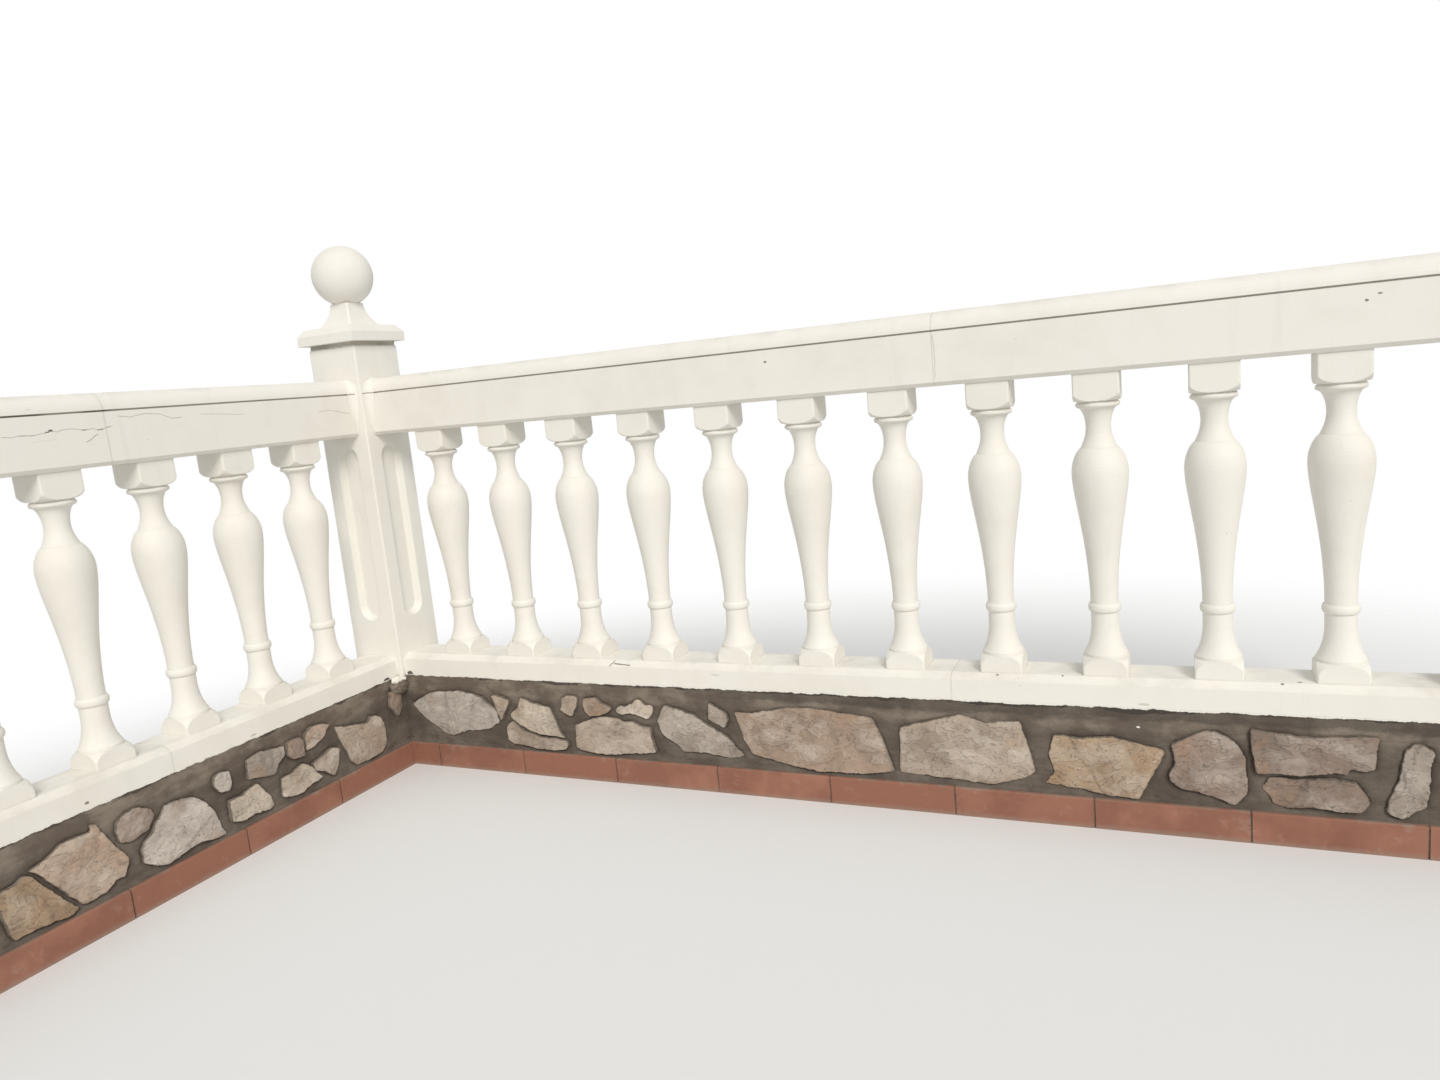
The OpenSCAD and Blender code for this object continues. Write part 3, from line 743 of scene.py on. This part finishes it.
def end_outline(node, axis, value):
    """The outline of a casting's flat end, at a place on an axis, as points in order."""
    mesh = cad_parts[node].data
    key_of = [tuple(round(c, 5) for c in v.co) for v in mesh.vertices]
    uses = {}
    for polygon in mesh.polygons:
        keys = [key_of[v] for v in polygon.vertices]
        if all(abs(key[axis] - value) < 0.05 * MM for key in keys):
            for side in zip(keys, keys[1:] + keys[:1]):
                if not uses.pop(side[::-1], False):
                    uses[side] = True
    following = dict(uses.keys())
    at = first = next(iter(following))
    outline = []
    while True:
        outline.append(Vector(at))
        at = following[at]
        if at == first:
            return outline


def outward(outline, away):
    """Directions out of an outline at each of its points, as long as a side moved by one needs."""
    middle = sum(outline, Vector()) / len(outline)
    sides = [(outline[(i + 1) % len(outline)] - p).normalized() for i, p in enumerate(outline)]
    normals = [side.cross(away) for side in sides]
    if sum(n.dot(p - middle) for n, p in zip(normals, outline)) < 0:
        normals = [-n for n in normals]
    return [(normals[i - 1] + n) / (1 + normals[i - 1].dot(n)) for i, n in enumerate(normals)]


def bridged(outline, axis):
    """An outline without its hollows."""
    u, v = [i for i in range(3) if i != axis]
    kept = convex_hull_2d([(p[u], p[v]) for p in outline])
    return [outline[i] for i in kept]


def cove(outline, away, size):
    """Paint and filler in the corner round a casting's end: a ring whose hollow side is a quarter circle."""
    outs = outward(outline, away)
    profile = [(1 - math.sin(t), 1 - math.cos(t)) for t in (math.pi / 16 * k for k in range(9))]
    verts, faces = [], []
    for p, out in zip(outline, outs):
        r = size(p)
        ring = [(o * r, s * r) for o, s in profile] + [(-0.5 * MM, r), (-0.5 * MM, -0.3 * MM), (r, -0.3 * MM)]
        verts.extend(p + out * o + away * s for o, s in ring)
    n, around = len(profile) + 3, len(outline)
    for i in range(around):
        j = (i + 1) % around
        for k in range(n):
            m = (k + 1) % n
            faces.append((i * n + k, i * n + m, j * n + m, j * n + k))
    return verts, faces


def plug(outline, away, length, back):
    """Filler across a joint between two castings, back from their faces."""
    outs = outward(outline, away)
    ring = [p - out * back for p, out in zip(outline, outs)]
    n = len(ring)
    verts = ring + [p + away * length for p in ring]
    faces = [tuple(range(n)), tuple(range(2 * n - 1, n - 1, -1))]
    faces += [(k, k + n, (k + 1) % n + n, (k + 1) % n) for k in range(n)]
    return verts, faces


def add_filling(name, parts, material):
    """Several rings or plugs as one piece, with every shell's faces turned out."""
    verts, faces = [], []
    for part_verts, part_faces in parts:
        base = len(verts)
        verts.extend(part_verts)
        faces.extend(tuple(base + v for v in face) for face in part_faces)
    piece = add_piece(name, verts, faces, material)
    shape = bmesh.new()
    shape.from_mesh(piece.data)
    bmesh.ops.recalc_face_normals(shape, faces=shape.faces)
    shape.to_mesh(piece.data)
    shape.free()


# Each run's axis and its direction along it.
runs = {"right": (0, 1), "left": (1, -1)}


def finish_rail(run, kind, finish, filling, back, size):
    """Paints both castings of one run's rail and fills round its ends at the posts and in its joint."""
    axis, sign = runs[run]
    away = Vector([sign * (i == axis) for i in range(3)])
    first, last = (0, 1) if sign > 0 else (1, 0)
    castings = [f"{run}_{kind}_near", f"{run}_{kind}_far"]
    for casting in castings:
        coat(casting, finish)
    near, far = (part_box(casting) for casting in castings)
    joint = near[last][axis]
    at_corner = end_outline(castings[0], axis, near[first][axis])
    at_end = end_outline(castings[1], axis, far[last][axis])
    at_joint = end_outline(castings[0], axis, joint)
    add_filling(f"{run}_{kind}_filling", [
        cove(bridged(at_corner, axis), away, size), cove(bridged(at_end, axis), -away, size),
        plug(at_joint, away, abs(far[first][axis] - joint), back)], filling)


# Near-black for the notches chipped in the rails' lower edges: the shade in them is painted in.
NOTCH_SHADE = (0.055, 0.045, 0.036)
DRIP = (0.45, 0.40, 0.33)
KERB_FILLING, KERB_PLUG_BACK = 3.2 * MM, 0.1 * MM
rail_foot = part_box("right_bottom_rail_near")[0].z
paint = painted_finish("masonry_paint")
right_kerb_paint = painted_finish("right_bottom_rail_paint", [
    near_face("Z", 338, 353, crack("Z", "X", [(336, 843), (345, 849), (353, 857)], 2.6)),
    near_face("Z", 340, 350, crack("X", "Z", [(853, 345.5), (880, 344), (912, 342.7)], 1.8, deep=0.4)),
    chip((107, -74, 291), (13, 10, 10), NOTCH_SHADE, 1.2, 0.95),
    chip((1176, -74, 327), (16, 5, 3), (0.52, 0.48, 0.42), 0.2, 0.5),
    chip((1918, -56, 350), (4, 3, 4)), chip((2066, -52, 351), (3, 3, 4)), chip((2514, -54, 351), (4, 3, 4)),
    chip((2547, -44, 353), (6, 4, 3)),
    chip((2240, -74, 298), (14, 5, 3), DRIP, 0.3, 0.6)])
left_kerb_paint = painted_finish("left_bottom_rail_paint", [
    chip((74, -143, 290), (7, 15, 8), NOTCH_SHADE, 1.0, 0.95),
    chip((74, -1090, 303), (5, 6, 4)), chip((74, -640, 296), (5, 12, 4), DRIP, 0.3, 0.6)])
for run, finish in (("right", right_kerb_paint), ("left", left_kerb_paint)):
    finish_rail(run, "bottom_rail", finish, paint, KERB_PLUG_BACK, lambda p: KERB_FILLING)

# Mortar in the inner corner: a rough lump under the corner post, pushed in out of the trowel's reach
# and never struck off. The paint brush has dabbed its top white.

def lump_paint(f):
    return f.ease(f.axis("Z") + 0.02 * f.clouds(60, 4, 0.7), 0.286, 0.293)


LUMP_AT = Vector((wall_half + 3 * MM, -wall_half - 22 * MM, rail_foot - 24 * MM))
LUMP_SIZE = Vector((18, 35, 27)) * MM
lump_mesh = bmesh.new()
bmesh.ops.create_icosphere(lump_mesh, subdivisions=4, radius=1)
for v in lump_mesh.verts:
    rough = 1 + 0.26 * noise.fractal(v.co * 2.4 + Vector((3, 1, 7)), 0.8, 2.0, 5)
    v.co = LUMP_AT + Vector(a * b for a, b in zip(v.co * rough, LUMP_SIZE))
add_piece("corner_mortar_lump", [v.co.copy() for v in lump_mesh.verts],
          [[v.index for v in face.verts] for face in lump_mesh.faces],
          mortar_finish("corner_mortar", lump_paint))
lump_mesh.free()

# Posts: square cast stone posts with a sunk, splayed and round-ended panel in each side, bedded on
# the low wall and painted with the rails. A hairline runs down one panel of the corner post.

panel_hairline = near_face("X", 80, 93, crack(
    "Z", "Y", [(785, -39), (821, -38.6), (856, -39.6), (897, -38.8), (931, -39.4)], 1.1, strength=0.7))
coat("corner_post", painted_finish("corner_post_paint", [panel_hairline]))
for post in ("right_end_post", "left_end_post"):
    coat(post, paint)

# Balusters: turned patterns cast in two-part moulds, each stood on the bottom rail under the
# handrail on a thin bed. Filler and paint round the edges of both beds.

BED_FILLING = 2.2 * MM
for run, count in (("right", 12), ("left", 6)):
    beads = []
    for number in range(1, count + 1):
        baluster = f"{run}_baluster_{number}"
        coat(baluster, paint)
        low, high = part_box(baluster)
        for level, away in ((low.z, UP), (high.z, -UP)):
            beads.append(cove(end_outline(baluster, 2, level), away, lambda p: BED_FILLING))
    add_filling(f"{run}_baluster_filling", beads, paint)

# Handrails: two castings to a run, with a rounded top over a small groove, laid on the balusters.
# The groove's shade is painted in, darker in lengths beyond the left joint. The left handrail has an
# old crack beyond its joint and hair cracks on the near side of it; broad fillings round the rails
# into the posts.

low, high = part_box("right_handrail_near")
rail_low, rail_high, rail_half = low.z, high.z, high.y
groove_low = rail_low + 125 * MM


# Painted shade inside the groove.
def groove_shade(f):
    height = f.axis("Z")
    above = f.ease(height, groove_low, groove_low + 1 * MM)
    inside = above * f.ease(height, groove_low + 4.4 * MM, groove_low + 3.4 * MM)
    return 0.75 * inside, (0.30, 0.265, 0.215), 0.0


def darker_groove_lengths(f):
    """The groove darker still in lengths, along the part that lies beyond the joint."""
    mask, _, _ = groove_shade(f)
    lengths = f.ease(f.clouds((1, 9, 1), 3, 0.6), 0.36, 0.5)
    beyond = f.ease(f.axis("Y"), -0.835, -0.85)
    return mask * lengths * beyond, (0.10, 0.08, 0.06), 0.0


def face_crack(points, width, **look):
    """A crack in the left handrail's face on the terrace side."""
    return near_face("X", 56, 64, crack("Y", "Z", points, width, **look))


right_rail_paint = painted_finish("right_handrail_paint", [
    groove_shade,
    chip((1393, -61, 1141), (5, 4, 3)), chip((2662, -61, 1139), (4, 4, 3)), chip((2684, -61, 1150), (5, 4, 2)),
    chip((296, -40, 1200), (6, 8, 8), strength=0.6),
    crack("Z", "X", [(1062, 1813), (1100, 1815), (1140, 1814), (1166, 1812)], 0.6, strength=0.55)])
left_rail_paint = painted_finish("left_handrail_paint", [
    groove_shade, darker_groove_lengths,
    face_crack([(-1107, 1130), (-1083, 1127), (-1070, 1130), (-1042, 1128), (-1010, 1132), (-999, 1135),
                (-988, 1132), (-972, 1136), (-952, 1136), (-932, 1132), (-917, 1131), (-905, 1133),
                (-893, 1129), (-882, 1130), (-874, 1133), (-854, 1136)], 0.9, deep=1.6, strength=0.4),
    face_crack([(-927, 1103), (-912, 1109), (-903, 1116), (-893, 1120)], 0.9),
    face_crack([(-1050, 1112), (-1020, 1115), (-990, 1116)], 0.7, strength=0.2),
    face_crack([(-842, 1158), (-810, 1153), (-771, 1159), (-732, 1155), (-702, 1143), (-672, 1143)],
               0.8, strength=0.6),
    face_crack([(-622, 1148), (-560, 1144), (-487, 1138)], 0.7, strength=0.5),
    face_crack([(-237, 1129), (-191, 1131), (-115, 1115)], 0.8, strength=0.6),
    chip((61, -1000, 1136), (4, 6, 2.6), (0.10, 0.08, 0.06), 1.5), chip((61, -1008, 1133), (4, 6, 1.4)),
    chip((61, -1060, 1129), (4, 11, 1), strength=0.5), chip((61, -1042, 1128), (4, 7, 1), strength=0.5),
    chip((61, -925, 1131.5), (4, 8, 1.2)), chip((61, -891, 1129), (4, 5, 1.2)), chip((61, -884, 1130), (4, 5, 1.4)),
    chip((61, -868, 1134), (4, 7, 1), strength=0.6),
    chip((50, -1040, 1184), (12, 18, 4), (0.55, 0.50, 0.43), 0.4, 0.7)])


LEAST_COVE, ADDED_COVE = 4 * MM, 22 * MM
RAIL_PLUG_BACK = 0.12 * MM


def handrail_cove(run):
    """Radius of the filling at the posts: small outside, and on the terrace side broader with height."""
    def size(p):
        face = (-p.y if run == "right" else p.x) / rail_half
        toward = min(1, max(0, (face - 0.2) / 0.7))
        below = min(1, max(0, (p.z - rail_low) / (groove_low - rail_low)))
        above = min(1, max(0, (rail_high - p.z) / (rail_high - groove_low)))
        return LEAST_COVE + ADDED_COVE * toward * below ** 2 * above ** 0.5
    return size


def groove_shadow_on_filling(f):
    """Painted shadow: the groove's shadow line carried on across the filling, where there is no groove."""
    height = f.axis("Z") + 0.002 * f.clouds(40, 3)
    line = f.ease(abs(height - groove_low - 3 * MM), 1.9 * MM, 1.1 * MM)
    return 0.8 * line, (0.26, 0.225, 0.18), 0.8


right_filling_paint = painted_finish("right_handrail_filling_paint", [groove_shadow_on_filling])
left_filling_paint = painted_finish("left_handrail_filling_paint", [near_face("X", 50, 73, groove_shadow_on_filling)])
for run, finish, filling in (("right", right_rail_paint, right_filling_paint),
                             ("left", left_rail_paint, left_filling_paint)):
    finish_rail(run, "handrail", finish, filling, RAIL_PLUG_BACK, handrail_cove(run))

# Cap beds: a thick course of pale mortar between each post and its cap, struck back and left rough,
# with the post's paint ending in a ragged edge along its foot.

BED_ROUGH, BED_HOLLOW, BED_STEP = 1.6 * MM, 0.8 * MM, 4 * MM
BED_DARK, BED_DRY = (0.42, 0.38, 0.32), (0.58, 0.54, 0.47)
BED_LEVELS = 7
bed_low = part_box("corner_cap_bed")[0].z


def bed_depth(face, along, levels):
    """How far the bed's side lies behind its straight line: ragged, and hollow in the middle."""
    low, high = levels[0], levels[-1]
    share = (np.array(levels) - low) / (high - low)
    hollow = np.sin(math.pi * share) * BED_HOLLOW
    lumps = [[noise.fractal(face.point(a, z, 0) * 75, 0.8, 2.1, 4) for z in levels] for a in along]
    return np.clip(BED_ROUGH * np.array(lumps) - hollow, -4 * MM, 0)


def paint_over_post(f):
    return f.ease(f.axis("Z") + 0.01 * f.clouds(45, 4, 0.65), bed_low + 9 * MM, bed_low + 7.5 * MM)


bed_mortar = mortar_finish("cap_bed_mortar", paint_over_post, None, BED_DARK, BED_DRY)
for post in ("corner", "right_end", "left_end"):
    low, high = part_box(post + "_cap_bed")
    middle, half = (low + high) / 2, (high.x - low.x) / 2
    walk = []
    for x, y, start in ((0, 1, -half), (1, 0, half), (0, -1, half), (-1, 0, -half)):
        foot = (middle.x + x * half, middle.y + y * half, 0)
        side = WallFace(foot, (abs(y), abs(x), 0), (x, y, 0), -half, half, 0)
        walk.append((side, start, -start, BED_STEP))
    bed = mortar_piece(post + "_bed_mortar", walk, np.linspace(low.z, high.z, BED_LEVELS), bed_depth, bed_mortar)
    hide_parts(post + "_cap_bed")

# Caps and balls: each cap is one casting with a rounded slab and a four-sided flare up to a neck; the
# ball is cast with a flat seat and dowelled to it. Both are painted with the posts.

for post in ("corner", "right_end", "left_end"):
    coat(post + "_cap", paint)
    coat(post + "_ball", paint)

# Floor and light: a plain pale floor that fades out at its rim, a broad soft lamp from the terrace
# side, high on the left, and an even sky.

FLOOR_MIDDLE = Vector((1.6, -0.8, 0))
FLOOR_REACH = 4.2
FADE_START, FADE_END = 2.1, 3.7
RIM_POINTS = 96
floor_mesh = bpy.data.meshes.new("floor")
angles = [math.tau * k / RIM_POINTS for k in range(RIM_POINTS)]
rim = [FLOOR_MIDDLE + FLOOR_REACH * Vector((math.cos(t), math.sin(t), 0)) for t in angles]
floor_mesh.from_pydata([tuple(p) for p in rim], [], [tuple(range(RIM_POINTS))])
floor = bpy.data.objects.new("floor", floor_mesh)
bpy.context.scene.collection.objects.link(floor)
f = Finish("pale_floor")
f.put(f.shader.inputs["Base Color"], (0.80, 0.795, 0.785))
f.put(f.shader.inputs["Roughness"], 0.9)
from_middle = f.moved(f.place, -FLOOR_MIDDLE)
away = f.node("ShaderNodeVectorMath", {"operation": "LENGTH"}, {0: from_middle}, out="Value")
clear = f.node("ShaderNodeBsdfTransparent")
faded = f.node("ShaderNodeMixShader", None, {
    0: f.ease(away, FADE_START, FADE_END), 1: Wire(f, f.shader.outputs[0]), 2: clear})
f.join(faded.socket, f.output.inputs[0])
floor_mesh.materials.append(f.material)

world = bpy.data.worlds.new("studio")
bpy.context.scene.world = world
world.use_nodes = True
tree = world.node_tree
tree.nodes.clear()
add, link = tree.nodes.new, tree.links.new
seen = add("ShaderNodeBackground")
seen.inputs["Color"].default_value = (1, 1, 1, 1)
lit = add("ShaderNodeBackground")
lit.inputs["Color"].default_value = (0.96, 0.98, 1.0, 1)
lit.inputs["Strength"].default_value = 0.60
rays = add("ShaderNodeLightPath")
sky = lit.outputs[0]
for ray in ("Is Camera Ray", "Is Glossy Ray", "Is Transmission Ray"):
    either = add("ShaderNodeMixShader")
    link(rays.outputs[ray], either.inputs[0])
    link(sky, either.inputs[1])
    link(seen.outputs[0], either.inputs[2])
    sky = either.outputs[0]
link(sky, add("ShaderNodeOutputWorld").inputs[0])

sun = bpy.data.lights.new("key", "SUN")
sun.energy = 1.95
sun.angle = math.radians(24)
sun.color = (1.0, 0.97, 0.92)
key = bpy.data.objects.new("key", sun)
key.rotation_euler = Vector((-0.50, 0.62, -0.60)).to_track_quat("-Z", "Y").to_euler()
bpy.context.scene.collection.objects.link(key)

# Camera: where the photograph was taken, at about chest height on the terrace, looking into the
# corner and held a few degrees off level.

PHOTO_WIDTH = 1440
FOCAL_PX = 990.86
lens = bpy.data.cameras.new("camera")
lens.sensor_fit = "HORIZONTAL"
lens.sensor_width = 36
lens.lens = FOCAL_PX / PHOTO_WIDTH * lens.sensor_width
camera = bpy.data.objects.new("camera", lens)
YAW, TILT, ROLL = 25.29, 81.14, -5.49
aim = (Matrix.Rotation(math.radians(YAW), 4, "Z") @ Matrix.Rotation(math.radians(TILT), 4, "X")
       @ Matrix.Rotation(math.radians(ROLL), 4, "Z"))
camera.matrix_world = Matrix.Translation((2.3245, -2.3924, 1.0958)) @ aim
bpy.context.scene.collection.objects.link(camera)
bpy.context.scene.camera = camera
bpy.context.scene.view_settings.view_transform = "Standard"
